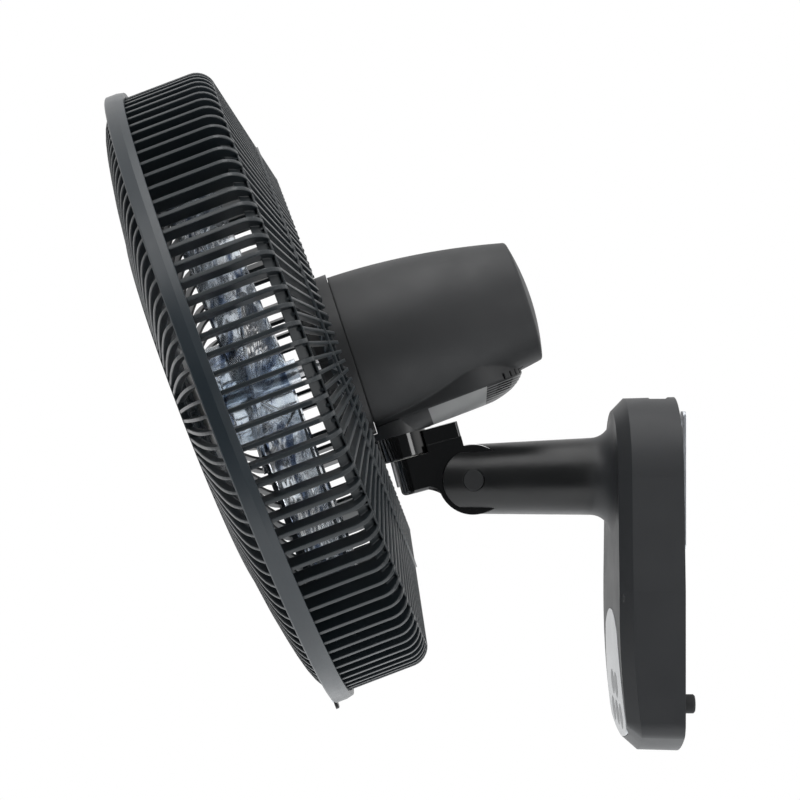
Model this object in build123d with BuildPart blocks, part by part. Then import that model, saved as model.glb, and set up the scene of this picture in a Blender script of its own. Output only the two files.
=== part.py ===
from build123d import *
import os
from math import atan2, cos, radians, sin, sqrt

os.makedirs("parts", exist_ok=True)

# Wall mounted fan, in millimetres.
# Origin: midpoint between the two wall screws, on the wall face. +Z is up, +Y points into the wall,
# and the fan blows towards -Y. The head is stored tilted nose down, as it is used above a room.

# ---------------------------------------------------------------- driving dimensions: wall box
wall_gap = 7.8  # wall to the back of the box, set by the bracket and the feet
box_depth = 43.5
box_top = 58.0
box_height = 245.6
box_half_width = 62.3
arch_radius = 54.0  # rounded top of the box, seen from the front
flare_drop = 77.0  # below the arch centre, where the sides reach their full width
bottom_rise = 18.9  # the bottom edge is this much higher at its corners
corner_radius = 13.0
box_draft = 1.5
box_wall = 2.5
box_chamfer = 8.5
lean_start = 83.8  # below the origin, where the front face starts to lean back
lean_radius = 643.0
cover_thickness = 2.5
fit_gap = 0.2  # between pieces that are fixed to each other
moving_gap = 0.3  # between faces that pass each other

# ---------------------------------------------------------------- driving dimensions: arm and tilt pivot
pivot_y = -148.5
pivot_z = 0.7
arm_root_radius = 27.4
arm_root_rise = 2.2  # the arm's axis is this much higher at the box
arm_tip_radius = 24.3
arm_fillet = 15.0
cheek_reach = 21.1  # pivot to the rounded front end of the cheeks
hub_radius = 24.3
hub_half_width = 14.0
tilt_washer_thickness = 1.0
tilt_bolt_radius = 4.0
pin_gap = 0.05  # running clearance round pins and shafts
cap_radius = 7.5
cap_thickness = 2.0
cap_face = 23.4  # outer face of the pivot caps, from the middle plane
bolt_seat = 18.2  # bolt head and nut sit here, from the middle plane
bolt_head_radius = 6.5
bolt_head_height = 2.8
arm_wall = 3.0
cable_hole_radius = 4.0

# ------------------------------------------------ driving dimensions: wall fixing and controls
screw_spacing = 80.0  # between the two wall screws
wall_screw_hole = 2.6
bracket_width = 16.0
bracket_length = 96.0
bracket_thickness = 2.0
hook_width = 14.0
hook_height = 8.0
hook_levels = (-18.0, 14.0)
foot_radius = 6.5
foot_x = 48.0
foot_z = -150.0
foot_stem_radius = 3.0
gland_z = -118.0
gland_radius = 6.0
gland_bore = 3.6
gland_flange = 8.0
gland_length = 8.0
cover_screws_at = (
    (-40.0, 16.0),
    (40.0, 16.0),
    (-52.0, -78.0),
    (52.0, -78.0),
    (-50.0, -163.0),
    (50.0, -163.0),
)
boss_radius = 4.0
post_radius_small = 3.5
screw_radius = 1.3
screw_head_radius = 3.2
screw_head_height = 1.2
small_head_radius = 2.5
panel_thickness = 1.5
panel_top = -89.8
panel_bottom = -177.6
panel_shoulder = (35.0, -102.7)
panel_flank = (45.6, -136.0)
panel_hip = (48.6, -158.0)
panel_foot = (46.0, -169.0)
panel_corner = 12.0
button_radius = 8.6
button_gap = 0.15
button_proud = 0.5
button_travel = 0.8
button_spots = ((-10.3, -141.8), (10.3, -141.8), (-22.0, -162.1), (0.0, -162.1), (22.0, -162.1))
board_face = -31.0  # front face of the control board
board_thickness = 1.6
board_half_width = 42.0
board_top = -124.0
board_bottom = -172.0
board_posts_at = ((-37.0, -129.0), (37.0, -129.0), (-37.0, -168.0), (37.0, -168.0))
switch_size = 6.0
switch_height = 4.0
button_flange_step = 1.0
button_stem_radius = 3.0
panel_proud = 0.4
slot_height = 9.5
grip_length = 14.0  # finger recess in the top of the box
grip_width = 24.0
grip_depth = 1.2
grip_back = 10.9  # from the back of the box to the middle of the recess

# ---------------------------------------------------------------- driving dimensions: neck and swing pivot
neck_tilt = 15.2
neck_front = 50.0
neck_top = 26.2
neck_floor = 1.2
neck_corner = 10.0
throat_length = 31.4  # where the neck's underside turns down to its hub
throat_middle = (-22.7, -5.0)
throat_angle = 44.0
throat_rounding = 3.0
washer_radius = 12.0
stop_ledge = 31.3  # the narrower stop block stands on this ledge
stop_half_width = 11.5
stop_rounding = 2.0
stop_top = 42.0
swing_offset = 41.0  # the swing axis is this far in front of the tilt axis
collar_radius = 18.5
flange_wall = 4.3  # round flange of the under cover, about the collar
flange_foot = 43.2
post_radius = 11.0
post_bore = 7.0
post_foot = 8.0
post_top = 60.0
thrust_step = 2.5  # the thrust washer is this much smaller than the collar
boss_top = 54.0  # top of the bearing boss that the head turns on
washer_thickness = 1.5

# ---------------------------------------------------------------- driving dimensions: head
head_tilt = 20.8
head_y = -316.2
head_z = 57.8
hoop_radius = 224.0
hoop_half_width = 6.5
hoop_wall = 3.2
hoop_lip = 1.8
hoop_lip_reach = 1.4
hoop_edge = 0.8
hoop_slope_width = 5.0  # the hoop falls away towards its rear edge
hoop_slope_drop = 1.1
rim_gap = 0.2
latch_half_width = 7.0
latch_thickness = 2.2
latch_overlap = 7.4  # the latch tab reaches this far inside the hoop
latch_lug = 5.0  # and this far outside it
guard_step = 5.0  # the guards' side walls are this much inside the hoop
slat_depth = 10.0
slat_thickness = 2.8
wall_slats = 112
rim_thickness = 4.1
guard_corner = 53.0  # where the straight side wall ends, behind the hoop's middle
band_back = 66.5
band_width = 9.0  # sunk band that joins the slats, with a thin ring at its rear edge
band_wall = 2.4
ring_thickness = 1.2
cone_ring_share = 0.69  # of the way from the band to the fold
cone_ring_proud = 0.7
curl_depth = 10.0  # the slats' rear ends curl inwards by this much
curl_steps = 6
fold_back = 83.5
fold_step = 88.0  # the fold of the rear guard is this much inside its side wall
hub_back = 76.0
hub_plate_radius = 62.0
hub_hole_radius = 30.0
hub_plate_thickness = 4.0
back_ribs = 132
inner_ribs = 66
rib_thickness = 2.0
rib_depth = 5.0
front_ribs = 132
front_inner_ribs = 66
front_rim_step = 3.0
front_profile = (  # inset, distance back
    (4.8, -6.8),
    (8.4, -9.7),
    (13.0, -12.3),
    (19.0, -14.6),
    (27.0, -16.8),
    (37.0, -19.0),
    (54.0, -22.3),
)
front_reach = 28.0
front_disc_step = 90.0
front_cap_radius = 44.0
shaft_radius = 4.0
blade_tip_gap = 10.0
blade_thickness = 2.2
blade_count = 5
tip_rounding = 28.0
blade_half_width = 56.0
hub_boss_radius = 10.0
blade_root = (30.0, 56.0, -38.0)  # radius, width and pitch of the blade
blade_middle = (110.0, 104.0, -17.0)
blade_tip_width = 124.0
blade_tip_pitch = -11.0
pin_at = 46.0  # cross pin through the shaft
pin_reach = 9.0
pin_radius = 1.5
spinner_seat_reach = 12.0
blade_hub_radius = 38.0
blade_front = 4.0
blade_back = 45.0
spinner_radius = 33.5
spinner_length = 11.5
spinner_rim = 3.0
spinner_wall = 4.0  # in front of the shaft's end
front_cover_radius = 57.0
front_cover_front = 76.4
front_cover_half_width = 18.0
front_cover_drop = 59.3
cover_post_radius = 4.0
cover_posts_at = ((-33.0, 0.0), (33.0, 0.0), (0.0, -33.0))
shell_seam = 88.6  # along the fan axis, where the motor shell meets its front cover
seam_lip_length = 3.0  # lip of the front cover, inside the shell
seam_lip_wall = 1.5
shell_lean = 2.7  # the seam leans forward at the bottom by this angle
shell_sections = ((0.0, 54.4), (46.0, 53.8), (88.0, 49.5), (140.0, 39.4))  # behind the seam, radius
shell_sink = 0.027  # the shell's middle line sinks by this for each millimetre behind the seam
shell_length = 131.0
dome_radius = 167.0
shell_wall = 2.5
pan_split = 55.5  # below the fan axis, where the gear housing meets its cover
pan_floor = 67.6
pan_front = 100.0  # the gear housing is egg-shaped: a small circle in front, a large one behind
pan_front_radius = 20.5
pan_rear = 158.4
pan_rear_radius = 37.0
cover_levels = ((0.0, 0.0, 0.0), (0.5, 1.4, 5.0), (1.0, 9.0, 16.5))  # share of depth, shift, inset
pan_screws_at = ((-11.0, 128.0), (11.0, 128.0), (-12.0, 160.0), (12.0, 160.0))
vent_levels = (57.2, 58.7, 60.2, 61.7, 63.2)
vent_height = 0.7
vent_width = 15.0
notch_width = 1.8
notch_height = 4.2
notch_angles = (20, 31, 41, 52)
snout_front = 66.0
shell_edge = 2.0
nut_radius = 46.0
nut_thickness = 6.0
chassis_top = 57.3
chassis_bottom = 61.8
chassis_front = 103.0  # egg-shaped plate, like the housing round it
chassis_front_radius = 13.0
chassis_rear = 150.0
chassis_rear_radius = 24.0
chassis_boss_radius = 14.0
stator_radius = 33.0
stator_front = 107.0
stator_length = 28.0
rotor_radius = 20.0
air_gap = 0.5
winding_outer = 31.0
winding_inner = 22.0
winding_length = 8.0
bell_radius = 37.8
bell_thickness = 3.0
bell_front = 94.5
bell_leg_half_width = 20.0
bell_leg_from = 28.0
bearing_outer = 9.0
bearing_length = 6.0
tie_circle = 35.2
tie_radius = 1.6
tie_head_radius = 2.9
tie_head_height = 2.0
tie_angles = (45, 135, 225, 315)
capacitor_half_width = 13.0
capacitor_height = 18.0
capacitor_back = 172.0

# ---------------------------------------------------------------- derived places and planes
box_back = -wall_gap
box_front = box_back - box_depth
slot_half_width = hub_half_width + tilt_washer_thickness
slot_radius = hub_radius + moving_gap
button_flange_radius = button_radius + button_flange_step
flange_radius = collar_radius + flange_wall
thrust_radius = collar_radius - thrust_step
guard_radius = hoop_radius - guard_step
band_radius = guard_radius - curl_depth
slat_root = guard_radius - slat_depth
front_rim_radius = guard_radius - front_rim_step
front_disc_radius = guard_radius - front_disc_step
fold_radius = guard_radius - fold_step
blade_radius = slat_root - blade_tip_gap
box_bottom = box_top - box_height
arch_centre = box_top - arch_radius

HEAD_ORIGIN = (0, head_y, head_z)
head_dir = Vector(0, cos(radians(head_tilt)), sin(radians(head_tilt)))
HEAD = Plane(origin=HEAD_ORIGIN, x_dir=(1, 0, 0), z_dir=head_dir)  # y of this plane points down
HEAD_SIDE = Plane(origin=HEAD_ORIGIN, x_dir=head_dir, z_dir=(1, 0, 0))  # x back, y up
HEAD_AXIS = Axis(HEAD_ORIGIN, head_dir)
head_down = Vector(0, sin(radians(head_tilt)), -cos(radians(head_tilt)))
HEAD_DOWN = Plane(origin=HEAD_ORIGIN, x_dir=head_dir, z_dir=head_down)  # x back, y across
shell_dir = head_dir * cos(radians(shell_lean)) + head_down * sin(radians(shell_lean))
SHELL = Plane(origin=Vector(*HEAD_ORIGIN) + head_dir * shell_seam, x_dir=(1, 0, 0), z_dir=shell_dir)
SHELL_AXIS = Axis(SHELL.origin, shell_dir)

PIVOT = (0, pivot_y, pivot_z)
PIVOT_SIDE = Plane(origin=PIVOT, x_dir=(0, 1, 0), z_dir=(1, 0, 0))
neck_up = Vector(0, -sin(radians(neck_tilt)), cos(radians(neck_tilt)))
neck_back = Vector(0, cos(radians(neck_tilt)), sin(radians(neck_tilt)))
NECK_SIDE = Plane(origin=PIVOT, x_dir=neck_back, z_dir=(1, 0, 0))  # x back, y up
SWING_ORIGIN = Vector(*PIVOT) - neck_back * swing_offset
SWING = Plane(origin=SWING_ORIGIN, x_dir=(1, 0, 0), z_dir=neck_up)
SWING_AXIS = Axis(SWING_ORIGIN, neck_up)


def front_plane(y):
    """A plane across the box at the given y, facing the room."""
    return Plane(origin=(0, y, 0), x_dir=(1, 0, 0), z_dir=(0, -1, 0))


# ---------------------------------------------------------------- wall box: front housing with its arm
with BuildSketch(front_plane(box_back)) as box_outline:
    with BuildLine():
        flare_z = arch_centre - flare_drop
        side_bottom = box_bottom + bottom_rise
        RadiusArc((-arch_radius, arch_centre), (0, box_top), arch_radius)
        RadiusArc((0, box_top), (arch_radius, arch_centre), arch_radius)
        Polyline((arch_radius, arch_centre), (box_half_width, flare_z), (box_half_width, side_bottom))
        ThreePointArc((box_half_width, side_bottom), (0, box_bottom), (-box_half_width, side_bottom))
        Polyline((-box_half_width, side_bottom), (-box_half_width, flare_z), (-arch_radius, arch_centre))
    make_face()
    fillet(box_outline.vertices().group_by(Axis.Z)[0], corner_radius)

lean_drop = abs(box_bottom) + 10 - lean_start
lean_shift = lean_radius - sqrt(lean_radius**2 - lean_drop**2)
side_reach = box_half_width + 10


def side_block(inset, back=box_back):
    """Everything behind the box's front face, set in by the given amount, as one long block."""
    with BuildPart() as block:
        with BuildSketch(Plane.YZ.offset(-side_reach)):
            with BuildLine():
                top = (box_front + inset, box_top + 10)
                tangent_point = (box_front + inset, -lean_start)
                foot = (box_front + inset + lean_shift, -lean_start - lean_drop)
                Line(top, tangent_point)
                TangentArc(tangent_point, foot, tangent=(0, -1))
                Polyline(foot, (back, foot[1]), (back, top[1]), top)
            make_face()
        extrude(amount=2 * side_reach)
    return block.part


def box_block(inset, edge_chamfer, back=box_back):
    """The box's outer form, or with an inset the hollow inside it."""
    with BuildSketch(front_plane(back)) as section:
        add(box_outline.sketch.moved(Location((0, back - box_back, 0))))
        if inset > 0:
            offset(amount=-inset)
    with BuildPart() as block:
        extrude(section.sketch, amount=box_depth + back - box_back, taper=box_draft)
        add(side_block(inset, back), mode=Mode.INTERSECT)
        front_edges = block.faces().filter_by(lambda f: f.normal_at().Y < -0.9).edges()
        chamfer([e for e in front_edges if front_edges.count(e) == 1], edge_chamfer)
    return block.part


def front_y(z):
    """Where the box's front face lies at a given height."""
    below = max(0.0, -z - lean_start)
    return box_front + lean_radius - sqrt(lean_radius**2 - below**2)


def disc(x, y_from, y_to, z, radius):
    """A round bar along Y between two faces."""
    with BuildPart() as bar:
        with BuildSketch(front_plane(y_to)):
            with Locations((x, z)):
                Circle(radius)
        extrude(amount=y_to - y_from)
    return bar.part


def cross_bar(x_from, x_to, radius):
    """A round bar along X on the tilt axis."""
    with BuildPart() as bar:
        with BuildSketch(PIVOT_SIDE.offset(x_from)):
            Circle(radius)
        extrude(amount=x_to - x_from)
    return bar.part


with BuildSketch(front_plane(box_front - 5)) as panel_outline:
    with BuildLine():
        shoulder_left = (-panel_shoulder[0], panel_shoulder[1])
        flank_left = (-panel_flank[0], panel_flank[1])
        hip_left = (-panel_hip[0], panel_hip[1])
        foot_left = (-panel_foot[0], panel_foot[1])
        ThreePointArc(shoulder_left, (0, panel_top), panel_shoulder)
        ThreePointArc(panel_shoulder, panel_flank, panel_hip)
        Line(panel_hip, panel_foot)
        ThreePointArc(panel_foot, (0, panel_bottom), foot_left)
        Line(foot_left, hip_left)
        ThreePointArc(hip_left, flank_left, shoulder_left)
    make_face()
    fillet(panel_outline.vertices().sort_by(Axis.Z)[0:2], panel_corner)


def panel_block(gap):
    """The panel's outline through the front wall, grown by a gap and cut off behind the panel."""
    with BuildSketch(front_plane(box_front + 12)) as outline:
        add(panel_outline.sketch.moved(Location((0, 17, 0))))
        if gap > 0:
            offset(amount=gap)
    with BuildPart() as block:
        extrude(outline.sketch, amount=17)
        add(side_block(panel_thickness), mode=Mode.SUBTRACT)
    return block.part


inner_chamfer = box_chamfer - box_wall * (2 - sqrt(2))
cover_inner = box_back - cover_thickness
arm_root = (0, pivot_z + arm_root_rise)
with BuildPart() as front_housing:
    add(box_block(0, box_chamfer))
    with BuildSketch(front_plane(box_front + box_wall / 2)):
        with Locations(arm_root):
            Circle(arm_root_radius)
    with BuildSketch(front_plane(pivot_y)):
        with Locations((0, pivot_z)):
            Circle(arm_tip_radius)
    loft()
    with BuildSketch(front_plane(pivot_y)):
        with Locations((0, pivot_z)):
            Circle(arm_tip_radius)
    extrude(amount=cheek_reach + 1)
    junction = front_housing.edges().filter_by_position(Axis.Y, box_front - 0.01, box_front + 0.01)
    fillet(junction.sort_by_distance((0, box_front, arm_root[1]))[0], arm_fillet)
    add(box_block(box_wall, inner_chamfer), mode=Mode.SUBTRACT)
    for x, z in cover_screws_at:
        add(disc(x, front_y(z) + 0.8 * box_wall, cover_inner, z, boss_radius))
    for x, z in board_posts_at:
        add(disc(x, front_y(z) + 0.8 * box_wall, board_face, z, post_radius_small))
    for x, z in cover_screws_at:
        add(disc(x, cover_inner - 14, cover_inner, z, screw_radius + pin_gap), mode=Mode.SUBTRACT)
    for x, z in board_posts_at:
        add(disc(x, board_face - 8, board_face, z, screw_radius + pin_gap), mode=Mode.SUBTRACT)
    # hollow arm, open to the box, with a cable hole into the clevis
    web = pivot_y + slot_radius + cover_thickness
    with BuildSketch(front_plane(box_front + box_wall + 1)):
        with Locations(arm_root):
            Circle(arm_root_radius - arm_wall)
    with BuildSketch(front_plane(web)):
        with Locations((0, pivot_z + arm_root_rise / 2)):
            Circle(arm_tip_radius - arm_wall)
    loft(mode=Mode.SUBTRACT)
    add(disc(0, pivot_y, web + 1, pivot_z - arm_tip_radius / 2, cable_hole_radius), mode=Mode.SUBTRACT)
    # clevis: rounded cheeks, slot for the neck's hub, holes for the bolt and its caps
    with BuildSketch(PIVOT_SIDE.offset(-2 * arm_tip_radius)):
        with Locations((-cheek_reach, 0)):
            Rectangle(2 * cheek_reach, 3 * arm_tip_radius)
        Circle(cheek_reach, mode=Mode.SUBTRACT)
    extrude(amount=4 * arm_tip_radius, mode=Mode.SUBTRACT)
    with BuildSketch(PIVOT_SIDE.offset(-slot_half_width)):
        Circle(slot_radius)
        with Locations((-slot_radius, 0)):
            Rectangle(2 * slot_radius, 2 * slot_radius)
    extrude(amount=2 * slot_half_width, mode=Mode.SUBTRACT)
    add(cross_bar(-2 * arm_tip_radius, 2 * arm_tip_radius, tilt_bolt_radius + pin_gap), mode=Mode.SUBTRACT)
    add(cross_bar(bolt_seat, 2 * arm_tip_radius, cap_radius + pin_gap), mode=Mode.SUBTRACT)
    add(cross_bar(-2 * arm_tip_radius, -bolt_seat, cap_radius + pin_gap), mode=Mode.SUBTRACT)
    # seat for the control panel and holes for the buttons
    add(panel_block(fit_gap), mode=Mode.SUBTRACT)
    for x, z in button_spots:
        add(disc(x, box_front - 5, box_front + 20, z, button_radius + button_gap), mode=Mode.SUBTRACT)
    with BuildSketch(Plane.XY.offset(box_top - grip_depth)):
        with Locations((0, box_back - grip_back)):
            RectangleRounded(grip_width, grip_length, 3)
    extrude(amount=10, mode=Mode.SUBTRACT)
front_housing.part.label = "front_housing"
export_step(front_housing.part, "parts/front_housing.step")


# ---------------------------------------------------------------- wall box: pieces behind and in the front
with BuildPart() as back_cover:
    with BuildSketch(front_plane(box_back)):
        add(box_outline.sketch)
        offset(amount=-(box_wall + fit_gap))
    extrude(amount=cover_thickness)
    for level in hook_levels:
        with BuildSketch(front_plane(box_back + 1)):
            with Locations((0, level + bracket_thickness - slot_height / 2)):
                Rectangle(hook_width + 4 * fit_gap, slot_height)
        extrude(amount=cover_thickness + 2, mode=Mode.SUBTRACT)
    for x, z in cover_screws_at:
        add(disc(x, cover_inner - 1, box_back + 1, z, screw_radius + pin_gap), mode=Mode.SUBTRACT)
        recess = disc(x, box_back - screw_head_height, box_back + 1, z, screw_head_radius + fit_gap)
        add(recess, mode=Mode.SUBTRACT)
    for x in (-foot_x, foot_x):
        add(disc(x, cover_inner - 1, box_back + 1, foot_z, foot_stem_radius + pin_gap), mode=Mode.SUBTRACT)
    add(disc(0, cover_inner - 1, box_back + 1, gland_z, gland_radius + pin_gap), mode=Mode.SUBTRACT)
back_cover.part.label = "back_cover"
export_step(back_cover.part, "parts/back_cover.step")

with BuildPart() as wall_bracket:
    with BuildSketch(front_plane(0)):
        RectangleRounded(bracket_width, bracket_length, 4)
        with GridLocations(0, screw_spacing, 1, 2):
            Circle(wall_screw_hole, mode=Mode.SUBTRACT)
    extrude(amount=bracket_thickness)
    for level in hook_levels:
        with BuildSketch(Plane.YZ.offset(-hook_width / 2)):
            with BuildLine():
                hook_back = -bracket_thickness / 2
                lip = cover_inner - fit_gap
                Polyline(
                    (hook_back, level),
                    (lip - bracket_thickness, level),
                    (lip - bracket_thickness, level + hook_height),
                    (lip, level + hook_height),
                    (lip, level + bracket_thickness),
                    (hook_back, level + bracket_thickness),
                    close=True,
                )
            make_face()
        extrude(amount=hook_width)
wall_bracket.part.label = "wall_bracket"
export_step(wall_bracket.part, "parts/wall_bracket.step")

with BuildPart() as rubber_feet:
    for x in (-foot_x, foot_x):
        with BuildSketch(front_plane(0)):
            with Locations((x, foot_z)):
                Circle(foot_radius)
        extrude(amount=wall_gap)
    chamfer(rubber_feet.edges().filter_by_position(Axis.Y, -0.01, 0.01), 1)
    for x in (-foot_x, foot_x):
        add(disc(x, cover_inner - 1, box_back + 0.5, foot_z, foot_stem_radius))
rubber_feet.part.label = "rubber_feet"
export_step(rubber_feet.part, "parts/rubber_feet.step")

with BuildPart() as cord_bush:
    add(disc(0, cover_inner - gland_length / 2, box_back + 0.5, gland_z, gland_radius))
    add(disc(0, box_back, box_back + 2, gland_z, gland_flange))
    add(disc(0, cover_inner - gland_length, box_back + 3, gland_z, gland_bore), mode=Mode.SUBTRACT)
cord_bush.part.label = "cord_bush"
export_step(cord_bush.part, "parts/cord_bush.step")

with BuildPart() as cover_screws:
    for x, z in cover_screws_at:
        add(disc(x, cover_inner - 10, box_back - screw_head_height, z, screw_radius))
        add(disc(x, box_back - screw_head_height, box_back, z, screw_head_radius))
cover_screws.part.label = "cover_screws"
export_step(cover_screws.part, "parts/cover_screws.step")

with BuildPart() as control_panel:
    add(panel_block(0))
    add(side_block(-panel_proud), mode=Mode.INTERSECT)
    for x, z in button_spots:
        add(disc(x, box_front - 5, box_front + 20, z, button_radius + button_gap), mode=Mode.SUBTRACT)
control_panel.part.label = "control_panel"
export_step(control_panel.part, "parts/control_panel.step")

switch_face = board_face - switch_height
for number, (x, z) in enumerate(button_spots, start=1):
    flange_face = front_y(z - button_flange_radius) + box_wall
    with BuildPart() as button:
        add(disc(x, box_front - 5, flange_face + 1, z, button_radius))
        add(side_block(-button_proud), mode=Mode.INTERSECT)
        add(disc(x, flange_face, flange_face + 1.2, z, button_flange_radius))
        add(disc(x, flange_face, switch_face - button_travel - 0.1, z, button_stem_radius))
    button.part.label = "button_" + str(number)
    export_step(button.part, "parts/button_" + str(number) + ".step")

with BuildPart() as control_board:
    with BuildSketch(front_plane(board_face + board_thickness)):
        with Locations((0, (board_top + board_bottom) / 2)):
            Rectangle(2 * board_half_width, board_top - board_bottom)
        with Locations(*board_posts_at):
            Circle(screw_radius + pin_gap, mode=Mode.SUBTRACT)
    extrude(amount=board_thickness)
control_board.part.label = "control_board"
export_step(control_board.part, "parts/control_board.step")

with BuildPart() as key_switches:
    with BuildSketch(front_plane(board_face)):
        with Locations(*button_spots):
            Rectangle(switch_size, switch_size)
    extrude(amount=switch_height)
key_switches.part.label = "key_switches"
export_step(key_switches.part, "parts/key_switches.step")

with BuildPart() as board_screws:
    board_back = board_face + board_thickness
    for x, z in board_posts_at:
        add(disc(x, board_face - 6, board_back + 0.5, z, screw_radius))
        add(disc(x, board_back, board_back + screw_head_height, z, small_head_radius))
board_screws.part.label = "board_screws"
export_step(board_screws.part, "parts/board_screws.step")

# ---------------------------------------------------------------- tilt pivot
with BuildPart() as tilt_bolt:
    add(cross_bar(-bolt_seat - bolt_head_height, bolt_seat, tilt_bolt_radius))
    add(cross_bar(bolt_seat, bolt_seat + bolt_head_height, bolt_head_radius))
tilt_bolt.part.label = "tilt_bolt"
export_step(tilt_bolt.part, "parts/tilt_bolt.step")

with BuildPart() as tilt_nut:
    with BuildSketch(PIVOT_SIDE.offset(-bolt_seat - bolt_head_height)):
        RegularPolygon(bolt_head_radius, 6)
        Circle(tilt_bolt_radius + pin_gap, mode=Mode.SUBTRACT)
    extrude(amount=bolt_head_height)
tilt_nut.part.label = "tilt_nut"
export_step(tilt_nut.part, "parts/tilt_nut.step")

with BuildPart() as tilt_washers:
    for x in (-slot_half_width, hub_half_width):
        with BuildSketch(PIVOT_SIDE.offset(x)):
            Circle(washer_radius)
            Circle(tilt_bolt_radius + pin_gap, mode=Mode.SUBTRACT)
        extrude(amount=slot_half_width - hub_half_width)
tilt_washers.part.label = "tilt_washers"
export_step(tilt_washers.part, "parts/tilt_washers.step")

with BuildPart() as pivot_caps:
    add(cross_bar(cap_face - cap_thickness, cap_face, cap_radius))
    add(cross_bar(-cap_face, -cap_face + cap_thickness, cap_radius))
    chamfer(pivot_caps.edges().filter_by(GeomType.CIRCLE).group_by(Axis.X)[0], 0.5)
    chamfer(pivot_caps.edges().filter_by(GeomType.CIRCLE).group_by(Axis.X)[-1], 0.5)
pivot_caps.part.label = "pivot_caps"
export_step(pivot_caps.part, "parts/pivot_caps.step")

# ---------------------------------------------------------------- neck, turning nose up and down
def swing_tube(v_from, v_to, outer, inner):
    """A round tube about the swing axis."""
    with BuildPart() as tube:
        with BuildSketch(SWING.offset(v_from)):
            Circle(outer)
            if inner > 0:
                Circle(inner, mode=Mode.SUBTRACT)
        extrude(amount=v_to - v_from)
    return tube.part


collar_clearance = collar_radius + moving_gap + fit_gap
with BuildPart() as neck:
    with BuildSketch(NECK_SIDE.offset(-hub_half_width)):
        Circle(hub_radius)
        with BuildLine():
            Polyline(
                (0, 0),
                (0, stop_ledge),
                (-swing_offset + collar_clearance - 3, stop_ledge),
                (-swing_offset + collar_clearance - 3, neck_top),
                (-neck_front, neck_top),
                (-neck_front, neck_floor),
                (-throat_length, neck_floor),
            )
            throat_turn = radians(throat_angle)
            throat_end = (-hub_radius * cos(throat_turn), -hub_radius * sin(throat_turn))
            ThreePointArc((-throat_length, neck_floor), throat_middle, throat_end)
            Line(throat_end, (0, 0))
        make_face()
    extrude(amount=2 * hub_half_width)
    upright = neck.edges().filter_by(lambda e: abs(e.tangent_at(0).dot(neck_up)) > 0.99)
    fillet(upright.sort_by(Axis.Y)[0:2], neck_corner)
    under_edges = ShapeList()
    for edge in neck.edges():
        middle = edge.center() - Vector(*PIVOT)
        across_edge = abs(middle.X) < 0.01 and middle.dot(neck_back) > 0.01 - neck_front
        if middle.dot(neck_up) < neck_floor + 0.01 and middle.dot(neck_back) < -hub_radius and not across_edge:
            under_edges.append(edge)
    fillet(under_edges, throat_rounding)
    with BuildSketch(NECK_SIDE.offset(-stop_half_width)):
        with BuildLine():
            Polyline(
                (0, stop_ledge - 1),
                (0, stop_top),
                (-swing_offset + collar_clearance - 3, stop_top),
                (-swing_offset + collar_clearance - 3, stop_ledge - 1),
                close=True,
            )
        make_face()
    extrude(amount=2 * stop_half_width)
    stop_edges = neck.edges().filter_by(lambda e: abs(e.tangent_at(0).dot(neck_up)) > 0.99)
    stop_edges = stop_edges.filter_by(lambda e: (e.center() - Vector(*PIVOT)).dot(neck_up) > stop_ledge)
    fillet(stop_edges.sort_by(Axis.Y)[-2:], stop_rounding)
    add(swing_tube(neck_top, stop_top + 1, collar_clearance, 0), mode=Mode.SUBTRACT)
    with BuildSketch(SWING.offset(post_foot)):
        Circle(post_radius + pin_gap)
    extrude(amount=neck_top, mode=Mode.SUBTRACT)
    add(cross_bar(-slot_half_width, slot_half_width, tilt_bolt_radius + pin_gap), mode=Mode.SUBTRACT)
neck.part.label = "neck"
export_step(neck.part, "parts/neck.step")

with BuildPart() as pivot_post:
    add(swing_tube(post_foot, post_top, post_radius, post_bore))
pivot_post.part.label = "pivot_post"
export_step(pivot_post.part, "parts/pivot_post.step")

with BuildPart() as thrust_washer:
    add(swing_tube(neck_top, neck_top + washer_thickness, thrust_radius, post_radius + pin_gap))
thrust_washer.part.label = "thrust_washer"
export_step(thrust_washer.part, "parts/thrust_washer.step")

with BuildPart() as post_nut:
    add(swing_tube(boss_top, boss_top + 3, chassis_boss_radius - 1, post_radius + pin_gap))
post_nut.part.label = "post_nut"
export_step(post_nut.part, "parts/post_nut.step")


# ---------------------------------------------------------------- head: guards

def head_rod(x, down, a_from, a_to, radius):
    """A round bar along the fan axis direction."""
    with BuildPart() as rod:
        with BuildSketch(HEAD.offset(a_from)):
            with Locations((x, down)):
                Circle(radius)
        extrude(amount=a_to - a_from)
    return rod.part


def head_ring(a_from, a_to, outer, inner):
    """A flat ring or tube about the fan axis."""
    with BuildPart() as ring:
        with BuildSketch(HEAD.offset(a_from)):
            Circle(outer)
            if inner > 0:
                Circle(inner, mode=Mode.SUBTRACT)
        extrude(amount=a_to - a_from)
    return ring.part


def head_block(half_width, down_from, down_to, a_from, a_to):
    """A block in the head, given its extent across, downwards and along the fan axis."""
    with BuildPart() as block:
        with BuildSketch(HEAD.offset(a_from)):
            with Locations((0, (down_from + down_to) / 2)):
                Rectangle(2 * half_width, down_to - down_from)
        extrude(amount=a_to - a_from)
    return block.part


def shaft_pin(radius):
    """A pin across the shaft, driving the blade hub."""
    with BuildPart() as pin:
        with BuildSketch(Plane(origin=HEAD.from_local_coords((-pin_reach, 0, pin_at)), z_dir=(1, 0, 0))):
            Circle(radius)
        extrude(amount=2 * pin_reach)
    return pin.part


def one_rib(outline, thickness):
    """One flat rib in the plane of the fan axis, drawn as (radius, distance back)."""
    with BuildPart() as rib:
        with BuildSketch(Plane.XZ):
            with BuildLine():
                Polyline(*outline, close=True)
            make_face()
        extrude(amount=thickness / 2, both=True)
    return rib.part


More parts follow.
